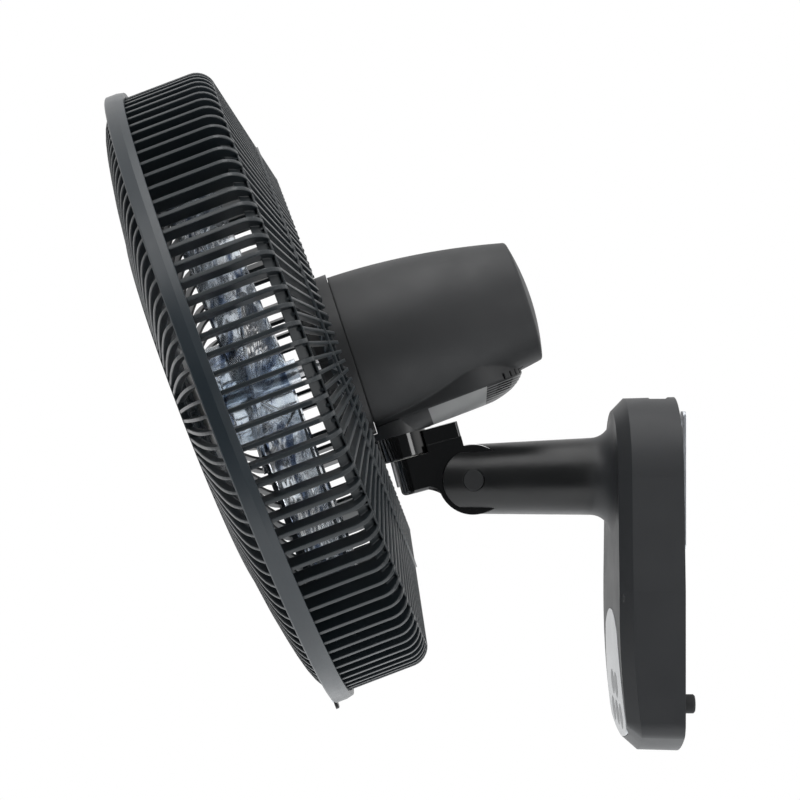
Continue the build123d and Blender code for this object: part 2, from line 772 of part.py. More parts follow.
curl_length = band_back - guard_corner
curl_radius = (curl_depth**2 + curl_length**2) / (2 * curl_depth)  # the slats' rear ends curl inwards
curl_turn = atan2(curl_length, curl_radius - curl_depth)
curl = []
for step in range(curl_steps + 1):
    turned = curl_turn * step / curl_steps
    curl.append((guard_radius - curl_radius * (1 - cos(turned)), guard_corner + curl_radius * sin(turned)))
wall_slat = one_rib(
    [
        (slat_root, rim_gap),
        (guard_radius, rim_gap),
        *curl,
        (band_radius - 3, band_back),
        (slat_root - 1.6, guard_corner + 0.6 * curl_length),
        (slat_root, guard_corner),
    ],
    slat_thickness,
)
cone_rib = one_rib(
    [
        (band_radius - 0.5, band_back),
        (fold_radius - 1, fold_back),
        (fold_radius - 1, fold_back - rib_depth),
        (band_radius - 0.5, band_back - rib_depth),
    ],
    rib_thickness,
)
inner_rib = one_rib(
    [
        (fold_radius, fold_back),
        (hub_plate_radius - 1, hub_back),
        (hub_plate_radius - 1, hub_back - 0.7 * rib_depth),
        (fold_radius, fold_back - rib_depth),
    ],
    rib_thickness,
)
rim_inner = slat_root - 1.2
rim_outer = hoop_radius - hoop_wall - moving_gap
hub_plate_width = hub_plate_radius - hub_hole_radius
with BuildPart(HEAD) as rear_guard:
    with BuildSketch(HEAD_SIDE):
        with Locations((rim_gap + rim_thickness / 2, (rim_inner + rim_outer) / 2)):
            Rectangle(rim_thickness, rim_outer - rim_inner)
        with BuildLine():
            Polyline(
                (band_back - band_width, band_radius + band_wall),
                (band_back - ring_thickness, band_radius - band_wall),
                (band_back - ring_thickness, band_radius),
                (band_back, band_radius),
                (band_back, band_radius - 2 * band_wall),
                (band_back - band_width, band_radius),
                close=True,
            )
        make_face()
        cone_ring_back = band_back + cone_ring_share * (fold_back - band_back)
        cone_ring_radius = band_radius + cone_ring_share * (fold_radius - band_radius)
        with Locations((cone_ring_back - ring_thickness + cone_ring_proud, cone_ring_radius)):
            Rectangle(2 * ring_thickness, rib_thickness)
        with Locations((fold_back - rib_depth + ring_thickness, fold_radius)):
            Rectangle(2 * ring_thickness, 1.5 * rib_thickness)
        with Locations((hub_back - hub_plate_thickness / 2, hub_plate_radius - hub_plate_width / 2)):
            Rectangle(hub_plate_thickness, hub_plate_width)
    revolve(axis=HEAD_AXIS)
    with PolarLocations(0, wall_slats):
        add(wall_slat)
    with PolarLocations(0, back_ribs):
        add(cone_rib)
    with PolarLocations(0, inner_ribs):
        add(inner_rib)
rear_guard.part.label = "rear_guard"
export_step(rear_guard.part, "parts/rear_guard.step")

shoulder_rib = one_rib(
    [
        (front_rim_radius, -rim_gap - rim_thickness / 2),
        (front_rim_radius, -rim_gap - rim_thickness),
        *[(guard_radius - inset, a) for inset, a in front_profile],
        (front_disc_radius - 1, -front_reach),
        (front_disc_radius - 1, rib_depth - front_reach),
        *[(guard_radius - inset - 1.8, a + rib_depth) for inset, a in reversed(front_profile[1:])],
        (slat_root + 0.3, -rim_gap - rim_thickness / 2),
    ],
    rib_thickness,
)
disc_rib = one_rib(
    [
        (front_disc_radius, -front_reach),
        (front_cap_radius + 1, -front_reach),
        (front_cap_radius + 1, 0.7 * rib_depth - front_reach),
        (front_disc_radius, 0.7 * rib_depth - front_reach),
    ],
    rib_thickness,
)
with BuildPart(HEAD) as front_guard:
    with BuildSketch(HEAD_SIDE):
        with Locations((-rim_gap - rim_thickness / 2, (rim_inner + rim_outer) / 2)):
            Rectangle(rim_thickness, rim_outer - rim_inner)
        with Locations((rib_depth / 2 - front_reach, front_disc_radius)):
            Rectangle(rib_depth, 3)
        with Locations((2 - front_reach, (front_disc_radius + front_cap_radius) / 2)):
            Rectangle(2, 2)
        with Locations((rib_depth / 2 - front_reach, front_cap_radius)):
            Rectangle(rib_depth, 3)
        with Locations((rib_depth - front_reach, front_cap_radius / 2)):
            Rectangle(2, front_cap_radius)
    revolve(axis=HEAD_AXIS)
    with PolarLocations(0, front_ribs):
        add(shoulder_rib)
    with PolarLocations(0, front_inner_ribs):
        add(disc_rib)
front_guard.part.label = "front_guard"
export_step(front_guard.part, "parts/front_guard.step")

cap_seat = rib_depth - 1 - front_reach
with BuildPart() as centre_cap:
    add(head_ring(cap_seat - 5, cap_seat, front_cap_radius - 1.5 - fit_gap, 0))
    fillet(centre_cap.edges().sort_by(HEAD_AXIS)[0], 2)
centre_cap.part.label = "centre_cap"
export_step(centre_cap.part, "parts/centre_cap.step")

lip_radius = hoop_radius - hoop_wall - hoop_lip_reach
latch_screw_down = (hoop_radius + lip_radius) / 2
with BuildPart() as guard_ring:
    with BuildSketch(HEAD_SIDE):
        with BuildLine():
            Polyline(
                (-hoop_half_width, lip_radius),
                (-hoop_half_width, hoop_radius - hoop_edge),
                (hoop_edge - hoop_half_width, hoop_radius),
                (hoop_half_width - hoop_slope_width, hoop_radius),
                (hoop_half_width, hoop_radius - hoop_slope_drop),
                (hoop_half_width, lip_radius),
                (hoop_half_width - hoop_lip, lip_radius),
                (hoop_half_width - hoop_lip, hoop_radius - hoop_wall),
                (hoop_lip - hoop_half_width, hoop_radius - hoop_wall),
                (hoop_lip - hoop_half_width, lip_radius),
                close=True,
            )
        make_face()
    revolve(axis=HEAD_AXIS)
    hole_back = 2 * hoop_lip - hoop_half_width
    screw_hole = head_rod(0, latch_screw_down, -hoop_half_width - 1, hole_back, screw_radius + pin_gap)
    add(screw_hole, mode=Mode.SUBTRACT)
guard_ring.part.label = "guard_ring"
export_step(guard_ring.part, "parts/guard_ring.step")

latch_seat = -hoop_half_width - fit_gap
latch_front = latch_seat - latch_thickness
with BuildPart() as guard_latch:
    latch_inner = hoop_radius - latch_overlap
    latch_outer = hoop_radius + latch_lug
    add(head_block(latch_half_width, latch_inner, latch_outer, latch_front, latch_seat))
    fillet(guard_latch.edges().filter_by(lambda e: abs(e.tangent_at(0).dot(head_dir)) > 0.99), 2)
    screw_hole = head_rod(0, latch_screw_down, latch_front - 1, latch_seat + 1, screw_radius + pin_gap)
    add(screw_hole, mode=Mode.SUBTRACT)
guard_latch.part.label = "guard_latch"
export_step(guard_latch.part, "parts/guard_latch.step")

with BuildPart() as guard_screw:
    add(head_rod(0, latch_screw_down, latch_front - 0.5, hoop_lip - hoop_half_width, screw_radius))
    head_front = latch_front - screw_head_height
    add(head_rod(0, latch_screw_down, head_front, latch_front, small_head_radius))
guard_screw.part.label = "guard_screw"
export_step(guard_screw.part, "parts/guard_screw.step")

nut_back = hub_back - hub_plate_thickness
snout_radius = hub_hole_radius - fit_gap
with BuildPart() as guard_nut:
    add(head_ring(nut_back - nut_thickness, nut_back, nut_radius, snout_radius + fit_gap))
    with BuildSketch(HEAD.offset(nut_back - nut_thickness)):
        with PolarLocations(nut_radius + 1, 12):
            Circle(3)
    extrude(amount=nut_thickness, mode=Mode.SUBTRACT)
guard_nut.part.label = "guard_nut"
export_step(guard_nut.part, "parts/guard_nut.step")

# ---------------------------------------------------------------- head: motor housing
def seam_block(s_from, s_to, w_from, w_to, half_width):
    """A block square to the seam of the motor shell, given along, down and across."""
    with BuildPart() as block:
        with BuildSketch(SHELL.offset(s_from)):
            with Locations((0, (w_from + w_to) / 2)):
                Rectangle(2 * half_width, w_to - w_from)
        extrude(amount=s_to - s_from)
    return block.part


def egg_outline(front, front_radius, rear, rear_radius, level):
    """The egg-shaped plan of the gear housing at a level below the fan axis."""
    with BuildSketch(HEAD_DOWN.offset(level)) as outline:
        with Locations((front, 0)):
            Circle(front_radius)
        with Locations((rear, 0)):
            Circle(rear_radius)
        make_hull()
    return outline.sketch


cover_reach = front_cover_radius + 10
seam_lip_radius = shell_sections[0][1] - shell_wall - seam_lip_wall - 2 * moving_gap
with BuildPart() as motor_front_cover:
    with BuildSketch(HEAD.offset(front_cover_front)):
        Circle(front_cover_radius)
        with Locations((0, front_cover_drop / 2)):
            RectangleRounded(2 * front_cover_half_width, front_cover_drop, 5)
    extrude(amount=shell_seam - front_cover_front + 10)
    chamfer(motor_front_cover.faces().sort_by(HEAD_AXIS)[0].edges(), 1.2)
    with BuildSketch(HEAD.offset(front_cover_front + shell_wall)):
        Circle(front_cover_radius - shell_wall)
        with Locations((0, front_cover_drop / 2)):
            Rectangle(2 * (front_cover_half_width - shell_wall), front_cover_drop - 2 * shell_wall)
    extrude(amount=shell_seam - front_cover_front + 10, mode=Mode.SUBTRACT)
    add(seam_block(0, 30, -cover_reach, cover_reach, cover_reach), mode=Mode.SUBTRACT)
    add(head_ring(hub_back, front_cover_front + 1, snout_radius + 10, snout_radius - 5))
    add(head_ring(snout_front, front_cover_front + shell_wall, snout_radius, snout_radius - shell_wall))
    add(head_ring(snout_front, snout_front + shell_wall, snout_radius - 1, shaft_radius + 2))
    cover_floor = front_cover_front + shell_wall
    add(head_ring(cover_floor - 5, shell_seam, snout_radius - shell_wall, 0), mode=Mode.SUBTRACT)
    # a lip inside the shell closes the seam
    with BuildSketch(SHELL.offset(-2 * shell_wall)):
        Circle(front_cover_radius - shell_wall + 1)
        Circle(seam_lip_radius, mode=Mode.SUBTRACT)
    extrude(amount=2 * shell_wall)
    with BuildSketch(SHELL.offset(-2 * shell_wall)):
        Circle(seam_lip_radius + seam_lip_wall)
        Circle(seam_lip_radius, mode=Mode.SUBTRACT)
    extrude(amount=2 * shell_wall + seam_lip_length)
    for x, down in cover_posts_at:
        add(head_rod(x, down, cover_floor - 1, bell_front, cover_post_radius))
    add(swing_tube(neck_top, post_top, chassis_boss_radius + 2 * moving_gap, 0), mode=Mode.SUBTRACT)
motor_front_cover.part.label = "motor_front_cover"
export_step(motor_front_cover.part, "parts/motor_front_cover.step")


def shell_form(inset, front):
    """The barrel of the motor housing with its domed rear end, or the hollow inside it."""
    sink = shell_sink * shell_length
    with BuildPart() as form:
        for distance, radius in shell_sections:
            with BuildSketch(SHELL.offset(max(front, distance))):
                with Locations((0, shell_sink * distance)):
                    Circle(radius - inset)
        loft()
        dome_axis = Axis(SHELL.from_local_coords((0, sink, 0)), shell_dir)
        with BuildSketch(Plane(origin=dome_axis.position, x_dir=shell_dir, z_dir=(1, 0, 0))):
            with Locations((shell_length - dome_radius, 0)):
                Circle(dome_radius - inset)
            with Locations((shell_length, -dome_radius)):
                Rectangle(4 * dome_radius, 2 * dome_radius, mode=Mode.SUBTRACT)
        revolve(axis=dome_axis, mode=Mode.INTERSECT)
        if inset == 0:
            fillet(form.faces().sort_by(SHELL_AXIS)[-1].edges(), shell_edge)
    return form.part


def gear_form(inset, drop):
    """The egg-shaped gear housing under the motor, from inside the shell down to a level."""
    with BuildPart() as form:
        top = pan_split / 3
        plan = egg_outline(pan_front, pan_front_radius - inset, pan_rear, pan_rear_radius - inset, top)
        extrude(plan, amount=drop - top)
        add(seam_block(-90, moving_gap - inset, -90, 120, 90), mode=Mode.SUBTRACT)
    return form.part


with BuildPart() as motor_shell:
    add(shell_form(0, moving_gap))
    add(gear_form(0, pan_split))
    add(shell_form(shell_wall, moving_gap - 0.01), mode=Mode.SUBTRACT)
    add(gear_form(shell_wall, pan_split + 20), mode=Mode.SUBTRACT)
    for angle in notch_angles:
        for side in (-1, 1):
            turn = side * angle
            with BuildSketch(HEAD_DOWN.offset(pan_split - notch_height)):
                across = pan_rear_radius * sin(radians(turn))
                with Locations((pan_rear + pan_rear_radius * cos(radians(turn)), across)):
                    Rectangle(3 * shell_wall, notch_width, rotation=turn)
            extrude(amount=notch_height + 1, mode=Mode.SUBTRACT)
motor_shell.part.label = "motor_shell"
export_step(motor_shell.part, "parts/motor_shell.step")


def cover_form(inset, top, floor):
    """The tapering cover under the gear housing, or the hollow inside it."""
    with BuildPart() as form:
        for share, shift, draw in cover_levels:
            front_radius = pan_front_radius - inset - draw / 4
            rear_radius = pan_rear_radius - inset - draw
            level = top + share * (floor - top)
            add(egg_outline(pan_front, front_radius, pan_rear - shift, rear_radius, level))
        loft()
    return form.part


pan_inner_floor = pan_floor - shell_wall
with BuildPart() as under_cover:
    add(cover_form(0, pan_split, pan_floor))
    add(swing_tube(flange_foot, boss_top, flange_radius, 0))
    add(cover_form(shell_wall, pan_split - 0.01, pan_inner_floor), mode=Mode.SUBTRACT)
    add(swing_tube(neck_top, boss_top + 1, collar_radius + fit_gap, 0), mode=Mode.SUBTRACT)
    for x, a in pan_screws_at:
        with BuildSketch(HEAD_DOWN.offset(chassis_bottom)):
            with Locations((a, x)):
                Circle(boss_radius)
        extrude(amount=pan_inner_floor - chassis_bottom + 1)
    with BuildSketch(HEAD_DOWN.offset(pan_split - 5)):
        for x, a in pan_screws_at:
            with Locations((a, x)):
                Circle(screw_radius + pin_gap)
    extrude(amount=30, mode=Mode.SUBTRACT)
    with BuildSketch(HEAD_DOWN.offset(pan_floor - screw_head_height - 0.3)):
        for x, a in pan_screws_at:
            with Locations((a, x)):
                Circle(screw_head_radius + fit_gap)
    extrude(amount=5, mode=Mode.SUBTRACT)
    for level in vent_levels:
        with BuildSketch(HEAD_DOWN.offset(level)):
            with Locations((pan_rear, 0)):
                with PolarLocations(pan_rear_radius, 3, start_angle=-50, angular_range=150):
                    Rectangle(pan_rear_radius / 2, vent_width)
        extrude(amount=vent_height, mode=Mode.SUBTRACT)
    # nothing of the cover reaches above the split, into the front cover or down onto the stop block
    with BuildSketch(HEAD_DOWN):
        with Locations((pan_front, 0)):
            Rectangle(4 * pan_front_radius, 4 * pan_front_radius)
    extrude(amount=pan_split, mode=Mode.SUBTRACT)
    cover_limit = front_cover_drop + 2 * moving_gap + fit_gap
    add(seam_block(-60, moving_gap, 0, cover_limit, cover_reach), mode=Mode.SUBTRACT)
    add(swing_tube(neck_top, flange_foot, 2 * flange_radius, 0), mode=Mode.SUBTRACT)
under_cover.part.label = "under_cover"
export_step(under_cover.part, "parts/under_cover.step")

with BuildPart() as head_chassis:
    plan = egg_outline(chassis_front, chassis_front_radius, chassis_rear, chassis_rear_radius, chassis_top)
    extrude(plan, amount=chassis_bottom - chassis_top)
    add(swing_tube(boss_top - 5, boss_top, chassis_boss_radius, 0))
    add(swing_tube(neck_top, boss_top + 1, post_radius + pin_gap, 0), mode=Mode.SUBTRACT)
    with BuildSketch(HEAD_DOWN.offset(chassis_top - 1)):
        for x, a in pan_screws_at:
            with Locations((a, x)):
                Circle(screw_radius + pin_gap)
    extrude(amount=10, mode=Mode.SUBTRACT)
head_chassis.part.label = "head_chassis"
export_step(head_chassis.part, "parts/head_chassis.step")

with BuildPart() as pan_screws:
    head_seat = pan_floor - screw_head_height - 0.3
    for depth_from, depth_to, radius in (
        (chassis_top, head_seat + 0.5, screw_radius),
        (head_seat, head_seat + screw_head_height, screw_head_radius),
    ):
        with BuildSketch(HEAD_DOWN.offset(depth_from)):
            for x, a in pan_screws_at:
                with Locations((a, x)):
                    Circle(radius)
        extrude(amount=depth_to - depth_from)
pan_screws.part.label = "pan_screws"
export_step(pan_screws.part, "parts/pan_screws.step")

with BuildPart() as swivel_collar:
    add(swing_tube(neck_top + moving_gap, boss_top, collar_radius, post_radius + pin_gap))
    lower_edges = swivel_collar.edges().filter_by(GeomType.CIRCLE).group_by(SWING_AXIS)[0]
    fillet(lower_edges.sort_by(SortBy.LENGTH)[-1], 1)
    add(swing_tube(neck_top, neck_top + washer_thickness, thrust_radius + fit_gap, 0), mode=Mode.SUBTRACT)
    with BuildSketch(HEAD_DOWN.offset(0)):
        with Locations((100, 0)):
            Rectangle(120, 120)
    extrude(amount=chassis_bottom, mode=Mode.SUBTRACT)
swivel_collar.part.label = "swivel_collar"
export_step(swivel_collar.part, "parts/swivel_collar.step")

# ---------------------------------------------------------------- head: motor
def tie_rods(a_from, a_to, radius):
    """The long bolts through the motor, or the holes for them."""
    with BuildPart() as rods:
        with BuildSketch(HEAD.offset(a_from)):
            for angle in tie_angles:
                with Locations((tie_circle * cos(radians(angle)), tie_circle * sin(radians(angle)))):
                    Circle(radius)
        extrude(amount=a_to - a_from)
    return rods.part


stator_back = stator_front + stator_length
rear_bell_front = stator_back + winding_length + 2
with BuildPart() as front_bell:
    add(head_ring(bell_front, bell_front + bell_thickness, bell_radius, bearing_outer))
    add(head_ring(bell_front, bell_front + bearing_length, bearing_outer + 4, bearing_outer))
    add(tie_rods(bell_front - 1, bell_front + 5, tie_radius + pin_gap), mode=Mode.SUBTRACT)
front_bell.part.label = "front_bell"
export_step(front_bell.part, "parts/front_bell.step")

with BuildPart() as rear_bell:
    add(head_ring(rear_bell_front, rear_bell_front + bell_thickness, bell_radius, bearing_outer))
    add(head_ring(rear_bell_front, rear_bell_front + bearing_length, bearing_outer + 4, bearing_outer))
    leg_back = rear_bell_front + bell_thickness
    add(head_block(bell_leg_half_width, bell_leg_from, chassis_top, rear_bell_front, leg_back))
    add(tie_rods(rear_bell_front - 1, rear_bell_front + 5, tie_radius + pin_gap), mode=Mode.SUBTRACT)
rear_bell.part.label = "rear_bell"
export_step(rear_bell.part, "parts/rear_bell.step")

with BuildPart() as tie_bolts:
    rear_face = rear_bell_front + bell_thickness
    add(tie_rods(bell_front, rear_face, tie_radius))
    add(tie_rods(rear_face, rear_face + tie_head_height, tie_head_radius))
tie_bolts.part.label = "tie_bolts"
export_step(tie_bolts.part, "parts/tie_bolts.step")

with BuildPart() as front_bearing:
    add(head_ring(bell_front, bell_front + bearing_length, bearing_outer, shaft_radius + pin_gap))
front_bearing.part.label = "front_bearing"
export_step(front_bearing.part, "parts/front_bearing.step")

with BuildPart() as rear_bearing:
    add(head_ring(rear_bell_front, rear_bell_front + bearing_length, bearing_outer, shaft_radius + pin_gap))
rear_bearing.part.label = "rear_bearing"
export_step(rear_bearing.part, "parts/rear_bearing.step")

with BuildPart() as stator_core:
    add(head_ring(stator_front, stator_back, stator_radius, rotor_radius + air_gap))
    add(tie_rods(stator_front - 1, stator_back + 1, tie_radius + pin_gap), mode=Mode.SUBTRACT)
stator_core.part.label = "stator_core"
export_step(stator_core.part, "parts/stator_core.step")

with BuildPart() as stator_windings:
    add(head_ring(stator_front - winding_length, stator_front, winding_outer, winding_inner))
    add(head_ring(stator_back, stator_back + winding_length, winding_outer, winding_inner))
    fillet(stator_windings.edges().filter_by(GeomType.CIRCLE).group_by(HEAD_AXIS)[0], 2)
    fillet(stator_windings.edges().filter_by(GeomType.CIRCLE).group_by(HEAD_AXIS)[-1], 2)
stator_windings.part.label = "stator_windings"
export_step(stator_windings.part, "parts/stator_windings.step")

with BuildPart() as capacitor:
    case_top = chassis_top - capacitor_height
    add(head_block(capacitor_half_width, case_top, chassis_top, leg_back + 2, capacitor_back))
    fillet(capacitor.edges(), 1.5)
capacitor.part.label = "capacitor"
export_step(capacitor.part, "parts/capacitor.step")

# ---------------------------------------------------------------- head: rotor and fan blade
with BuildPart() as rotor_core:
    add(head_ring(stator_front, stator_back, rotor_radius, shaft_radius + pin_gap))
rotor_core.part.label = "rotor_core"
export_step(rotor_core.part, "parts/rotor_core.step")

shaft_end = rear_bell_front + bearing_length + 6
spinner_seat = blade_front - spinner_seat_reach
spinner_front = spinner_seat - spinner_length
with BuildPart() as motor_shaft:
    add(head_ring(spinner_front + spinner_wall + 0.5, shaft_end, shaft_radius, 0))
    add(shaft_pin(pin_radius + pin_gap), mode=Mode.SUBTRACT)
motor_shaft.part.label = "motor_shaft"
export_step(motor_shaft.part, "parts/motor_shaft.step")

with BuildPart() as blade_pin:
    add(shaft_pin(pin_radius))
blade_pin.part.label = "blade_pin"
export_step(blade_pin.part, "parts/blade_pin.step")

with BuildPart() as blade_nut:
    with BuildSketch(HEAD_SIDE):
        with BuildLine():
            dome_top = (spinner_front, 3)
            dome_foot = (spinner_seat, spinner_radius)
            dome_start = (spinner_seat - spinner_rim, spinner_radius)
            Line((spinner_seat, 0), dome_foot)
            Line(dome_foot, dome_start)
            dome_middle = (spinner_seat - 0.75 * spinner_length, 0.7 * spinner_radius)
            ThreePointArc(dome_start, dome_middle, dome_top)
            Polyline(dome_top, (spinner_front, 0), (spinner_seat, 0))
        make_face()
    revolve(axis=HEAD_AXIS)
    bore_front = spinner_front + spinner_wall
    add(head_ring(bore_front, spinner_seat + 1, shaft_radius + pin_gap, 0), mode=Mode.SUBTRACT)
blade_nut.part.label = "blade_nut"
export_step(blade_nut.part, "parts/blade_nut.step")

with BuildPart() as blade_window:
    with BuildSketch(Plane.XY.offset(blade_front - 20)) as window_outline:
        Circle(blade_radius)
        with Locations((blade_radius / 2 + 10, 0)):
            Rectangle(blade_radius, 2 * blade_half_width, mode=Mode.INTERSECT)
        fillet(window_outline.vertices().sort_by(Axis.X)[-2:], tip_rounding)
    extrude(amount=blade_back - blade_front + 40)

with BuildPart() as one_blade:
    middle = (blade_front + blade_back) / 2
    blade_tip = (blade_radius + 2, blade_tip_width, blade_tip_pitch)
    for radius, chord, pitch in (blade_root, blade_middle, blade_tip):
        with BuildSketch(Plane(origin=(radius, 0, middle), x_dir=(0, 1, 0), z_dir=(1, 0, 0))):
            Rectangle(chord, blade_thickness, rotation=pitch)
    loft()
    add(blade_window.part, mode=Mode.INTERSECT)

boss_back = pin_at + 4
slot_front = pin_at - pin_radius - pin_gap
with BuildPart() as fan_blade:
    with BuildSketch(HEAD_SIDE):
        for a_from, a_to, outer, inner in (
            (spinner_seat, spinner_seat + 3, blade_hub_radius, shaft_radius + pin_gap),
            (spinner_seat, blade_back - 3, blade_hub_radius, blade_hub_radius - 2.5),
            (spinner_seat, boss_back, hub_boss_radius, shaft_radius + pin_gap),
        ):
            with Locations(((a_from + a_to) / 2, (outer + inner) / 2)):
                Rectangle(a_to - a_from, outer - inner)
    revolve(axis=HEAD_AXIS)
    for turn in range(blade_count):
        add(one_blade.part.rotate(Axis.Z, turn * 360 / blade_count).moved(HEAD.location))
    slot_width = 2 * (pin_radius + pin_gap)
    add(
        head_block(hub_boss_radius + 1, -slot_width / 2, slot_width / 2, slot_front, boss_back + 1),
        mode=Mode.SUBTRACT,
    )
fan_blade.part.label = "fan_blade"
export_step(fan_blade.part, "parts/fan_blade.step")
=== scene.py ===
import math

import bpy
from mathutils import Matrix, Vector

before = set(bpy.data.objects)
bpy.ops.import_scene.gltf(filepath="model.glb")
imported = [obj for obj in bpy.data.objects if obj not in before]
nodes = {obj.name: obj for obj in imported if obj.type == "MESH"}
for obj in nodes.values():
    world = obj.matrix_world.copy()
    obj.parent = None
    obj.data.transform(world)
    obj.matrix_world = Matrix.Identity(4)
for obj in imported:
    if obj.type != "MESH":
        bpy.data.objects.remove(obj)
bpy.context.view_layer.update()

# ------------------------------------------------------------------ places, in metres
# The motor head nods forward by TILT. HEAD is the middle of its guard ring, and BACK and BELOW
# are its directions back along the fan axis and down, square to that axis.
TILT = math.radians(20.8)
HEAD = Vector((0.0, -0.3162, 0.0578))
BACK = Vector((0.0, math.cos(TILT), math.sin(TILT)))
BELOW = Vector((0.0, math.sin(TILT), -math.cos(TILT)))

# The arm's darker plastic gives way to the wall box between these two places along Y.
ARM_END = -0.075
BOX_START = -0.056

# The painted grey reflection of the pale floor on the under cover starts this far back and below, and fades
# in over a short step.
FLOOR_SHINE_BACK = 0.1243
FLOOR_SHINE_STEP = 0.0006
FLOOR_SHINE_BELOW = 0.0557
# The under cover's louvres start here along Y, and are fine lines stacked downwards.
LOUVRE_START = -0.1399
LOUVRE_BELOW = 0.0572
LOUVRE_PITCH = 0.0015
LOUVRE_SHIFT = 0.23

# The camera of the photograph: its place, how far it looks and how wide its view is there.
CAMERA_PLACE = (1.6, -0.2233, 0.0559)
SENSOR_WIDTH = 36.0
VIEW_DISTANCE = 1.5998
VIEW_WIDTH = 0.5589
VIEW_SHIFT = 35 / 800

# ------------------------------------------------------------------ light levels
# The room is bright behind, above and below the object, and dark where the camera stands.
ROOM_COLOUR = (0.91, 0.96, 1.0, 1)
BRIGHT_SIDE = 0.80
DARK_SIDE = 0.12
FLOOR_GLOW = 0.9


# ------------------------------------------------------------------ materials
class Graph:
    """Short names for adding nodes to one node tree."""

    def __init__(self, tree):
        self.tree = tree

    def node(self, kind, **settings):
        n = self.tree.nodes.new(kind)
        for key, value in settings.items():
            setattr(n, key, value)
        return n

    def feed(self, socket, value):
        """A socket gets a link from another socket, or a constant."""
        if hasattr(value, "is_output"):
            self.tree.links.new(value, socket)
        else:
            socket.default_value = value

    def math(self, operation, a, b):
        n = self.node("ShaderNodeMath", operation=operation)
        self.feed(n.inputs[0], a)
        self.feed(n.inputs[1], b)
        return n.outputs[0]

    def vector(self, operation, a, b, out=0):
        n = self.node("ShaderNodeVectorMath", operation=operation)
        self.feed(n.inputs[0], a)
        self.feed(n.inputs[1], b)
        return n.outputs[out]

    def split(self, place):
        """The X, Y and Z of a place."""
        n = self.node("ShaderNodeSeparateXYZ")
        self.feed(n.inputs[0], place)
        return n.outputs

    def span(self, value, low, high, to_low, to_high, smooth=False):
        """One range of a value drawn over another range, and held at its ends."""
        n = self.node("ShaderNodeMapRange")
        n.interpolation_type = "SMOOTHSTEP" if smooth else "LINEAR"
        self.feed(n.inputs["Value"], value)
        limits = (("From Min", low), ("From Max", high), ("To Min", to_low), ("To Max", to_high))
        for key, number in limits:
            self.feed(n.inputs[key], number)
        return n.outputs["Result"]

    def mix(self, factor, a, b):
        n = self.node("ShaderNodeMix", data_type="RGBA")
        self.feed(n.inputs[0], factor)
        for socket, value in ((n.inputs[6], a), (n.inputs[7], b)):
            if isinstance(value, (tuple, list)) and len(value) == 3:
                value = (*value, 1.0)
            self.feed(socket, value)
        return n.outputs[2]


class Shader(Graph):
    """A node material around one Principled shader."""

    def __init__(self, name):
        self.mat = bpy.data.materials.new(name)
        self.mat.use_nodes = True
        super().__init__(self.mat.node_tree)
        self.bsdf = next(n for n in self.tree.nodes if n.type == "BSDF_PRINCIPLED")
        self.place = self.node("ShaderNodeTexCoord").outputs["Object"]

    def put(self, name, value):
        """An input of the Principled shader gets a link or a constant."""
        self.feed(self.bsdf.inputs[name], value)

    def head_place(self):
        """Distance back and below, from the middle of the guard ring."""
        place = self.vector("SUBTRACT", self.place, tuple(HEAD))
        return [self.vector("DOT_PRODUCT", place, tuple(v), 1) for v in (BACK, BELOW)]

    def noise(self, scale, detail=2.0, roughness=0.5, stretch=None):
        place = self.vector("MULTIPLY", self.place, stretch) if stretch else self.place
        n = self.node("ShaderNodeTexNoise")
        self.feed(n.inputs["Vector"], place)
        n.inputs["Scale"].default_value = scale
        n.inputs["Detail"].default_value = detail
        n.inputs["Roughness"].default_value = roughness
        return n.outputs["Fac"]

    def uneven(self, scale, detail, low, high):
        """A value that wanders between two numbers over the surface."""
        return self.span(self.noise(scale, detail), 0.3, 0.7, low, high)

    def cloudy(self, scale, detail, a, b):
        """A colour that wanders between two colours over the surface."""
        return self.mix(self.uneven(scale, detail, 0.0, 1.0), a, b)

    def specks(self, share, body, colour):
        """Fine specks of another colour."""
        return self.mix(self.span(self.noise(420.0, 3.0, 0.7), 0.66, 0.80, 0.0, share), body, colour)

    def bevel(self, radius):
        n = self.node("ShaderNodeBevel", samples=6)
        n.inputs["Radius"].default_value = radius
        return n.outputs["Normal"]

    def edge(self, bevel):
        """1 along a convex or concave edge, 0 on flat surface."""
        normal = self.node("ShaderNodeNewGeometry").outputs["Normal"]
        return self.span(self.vector("DOT_PRODUCT", bevel, normal, 1), 0.995, 0.80, 0.0, 1.0)

    def patchy_edge_highlight(self, bevel, least, most):
        """Patchy painted highlight along the edges, 0 on flat surface."""
        patches = self.span(self.noise(160.0, 3.0), 0.35, 0.65, least, most)
        return self.math("MULTIPLY", self.edge(bevel), patches)

    def bump(self, height, distance, normal=None):
        n = self.node("ShaderNodeBump")
        n.inputs["Strength"].default_value = 1.0
        n.inputs["Distance"].default_value = distance
        self.feed(n.inputs["Height"], height)
        if normal is not None:
            self.feed(n.inputs["Normal"], normal)
        return n.outputs["Normal"]


def scaled(colour, k):
    return tuple(c * k for c in colour)


def moulded(name, colour, rough, grain=0.00004, grain_size=2200, edge_radius=0.0006, edge_highlight=0.25, coat=0.0):
    """Moulded plastic: fine grain, slow colour drift, dust in the roughness, and a painted highlight along
    the edges.
    """
    s = Shader(name)
    body = s.cloudy(9.0, 4.0, scaled(colour, 0.88), scaled(colour, 1.12))
    body = s.specks(0.35, body, scaled(colour, 1.7))
    bevel = s.bevel(edge_radius)
    # Painted highlight in patches along the edges, paler than the body.
    s.put("Base Color", s.mix(s.math("MULTIPLY", s.patchy_edge_highlight(bevel, 0.4, 1.0), edge_highlight), body, scaled(colour, 3.0)))
    s.put("Roughness", s.uneven(38.0, 4.0, rough - 0.05, rough + 0.06))
    s.put("Normal", s.bump(s.noise(grain_size, 2.0, 0.6), grain, bevel))
    if coat:
        s.put("Coat Weight", coat)
        s.put("Coat Roughness", 0.04)
    return s


